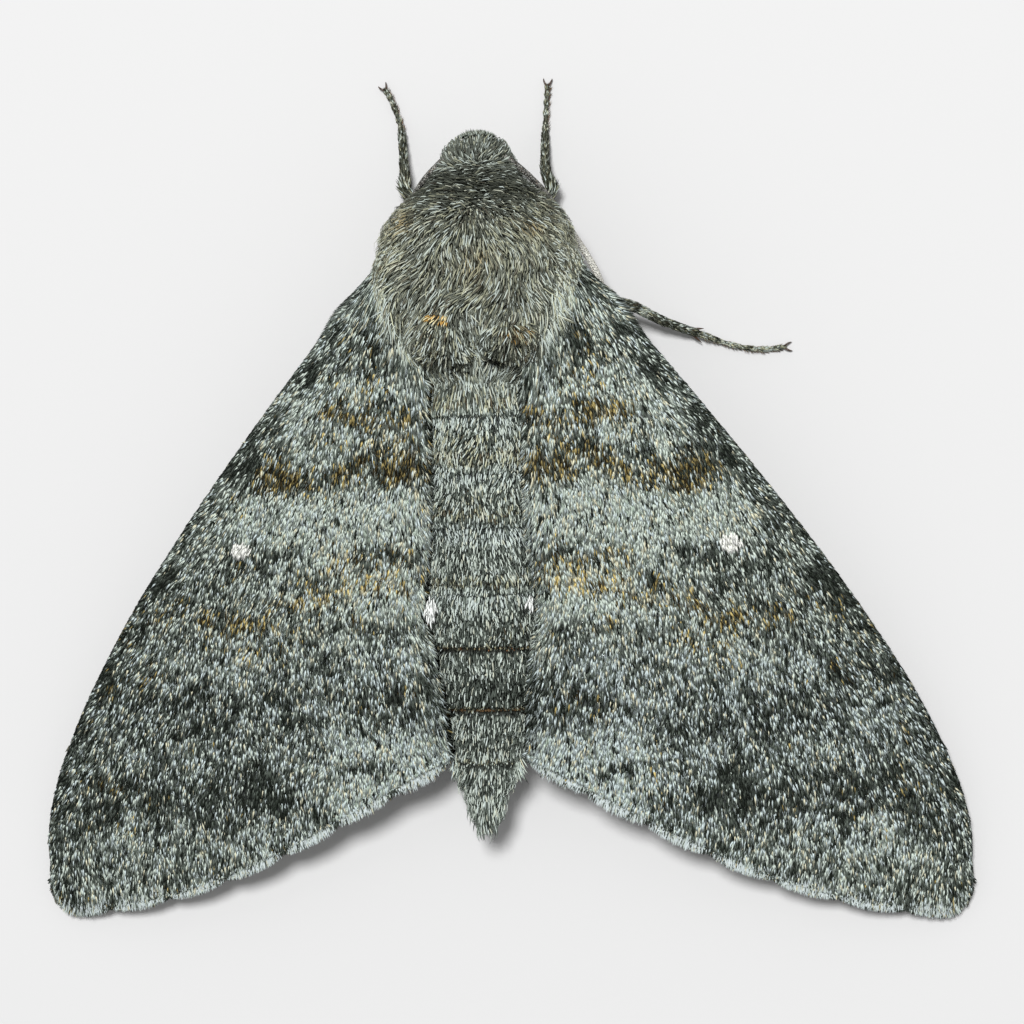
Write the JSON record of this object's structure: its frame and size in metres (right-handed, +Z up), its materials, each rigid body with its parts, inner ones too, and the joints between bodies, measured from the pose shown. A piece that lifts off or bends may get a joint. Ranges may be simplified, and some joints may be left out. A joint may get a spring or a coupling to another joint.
{
  "type": "hawk moth",
  "caption": "Mottled grey-green hawk moth at rest, wings spread like a low roof, furred body and banded abdomen, standing on its own feet as a still display model.",
  "frame": {"origin": "on the floor under the middle of the moth's outline", "axes": "+Z up from the floor, -Y toward the head, +X toward the moth's own left wing tip"},
  "size_m": [0.0464, 0.0417, 0.009],
  "materials": {
    "head_fur": "soft matte fur of dark and olive hair-scales",
    "thorax_fur": "dense matte grey-green fur",
    "abdomen_fur": "short matte grey-green fur with thin brown rings",
    "forewing_scales": "matte overlapping scales, mottled grey-green, black, white and ochre",
    "hindwing_scales": "matte plain grey-brown scales",
    "antenna_scales": "pale scaled shaft, brown underneath",
    "eye": "dark glossy faceted dome",
    "palp_fur": "short dense fur",
    "tongue_horn": "brown horny coil",
    "leg_scales": "close scales with pale rings on the tarsi"
  },
  "bodies": {
    "root": {"abdomen": "abdomen_fur", "antenna_left": "antenna_scales", "antenna_right": "antenna_scales", "eye_left": "eye", "eye_right": "eye", "foreleg_left": "leg_scales", "foreleg_right": "leg_scales", "forewing_left": "forewing_scales", "forewing_right": "forewing_scales", "head": "head_fur", "hindleg_left": "leg_scales", "hindleg_right": "leg_scales", "hindwing_left": "hindwing_scales", "hindwing_right": "hindwing_scales", "midleg_left": "leg_scales", "midleg_right": "leg_scales", "palp_left": "palp_fur", "palp_right": "palp_fur", "proboscis": "tongue_horn", "thorax": "thorax_fur"}
  },
  "joints": []
}
